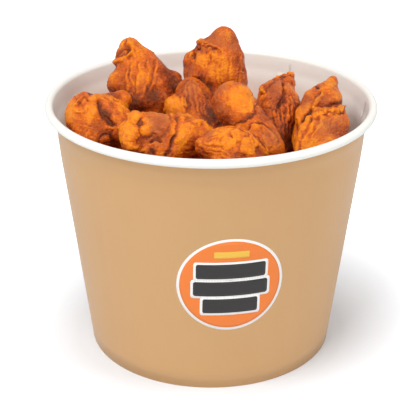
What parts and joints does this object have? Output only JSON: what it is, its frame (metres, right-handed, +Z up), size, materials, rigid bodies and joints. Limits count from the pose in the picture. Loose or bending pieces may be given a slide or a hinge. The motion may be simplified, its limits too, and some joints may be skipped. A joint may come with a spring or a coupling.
{
  "type": "bucket of fried chicken wings",
  "caption": "Round paper food bucket with a rolled rim and a plain round sticker, filled with fried chicken wings.",
  "frame": {"origin": "centre of the circle that the bucket stands on", "axes": "+Z up the bucket's axis, -Y towards the front with the sticker, +X to the right seen from the front"},
  "size_m": [0.216, 0.216, 0.2094],
  "materials": {
    "bucket_paper": "light brown coated board outside, white inside and on the rolled rim",
    "base_board": "white coated board",
    "label_print": "smooth printed paper sticker, orange field with a white border and plain dark bars",
    "fried_skin": "crisp fried skin, golden orange to red-brown, slightly oily"
  },
  "bodies": {
    "root": {"bucket_wall": "bucket_paper", "bucket_base": "base_board", "label": "label_print", "wing_front_middle": "fried_skin", "wing_front_left": "fried_skin", "wing_far_right": "fried_skin", "wing_round_end": "fried_skin", "wing_left": "fried_skin", "wing_right": "fried_skin", "wing_dark": "fried_skin", "wing_middle": "fried_skin", "wing_tall_centre": "fried_skin", "wing_tall_left": "fried_skin", "wing_behind_right": "fried_skin", "wing_back_left": "fried_skin", "wing_back_middle": "fried_skin", "wing_back_right": "fried_skin", "wing_back_low": "fried_skin", "lower_wings": "fried_skin"}
  },
  "joints": []
}
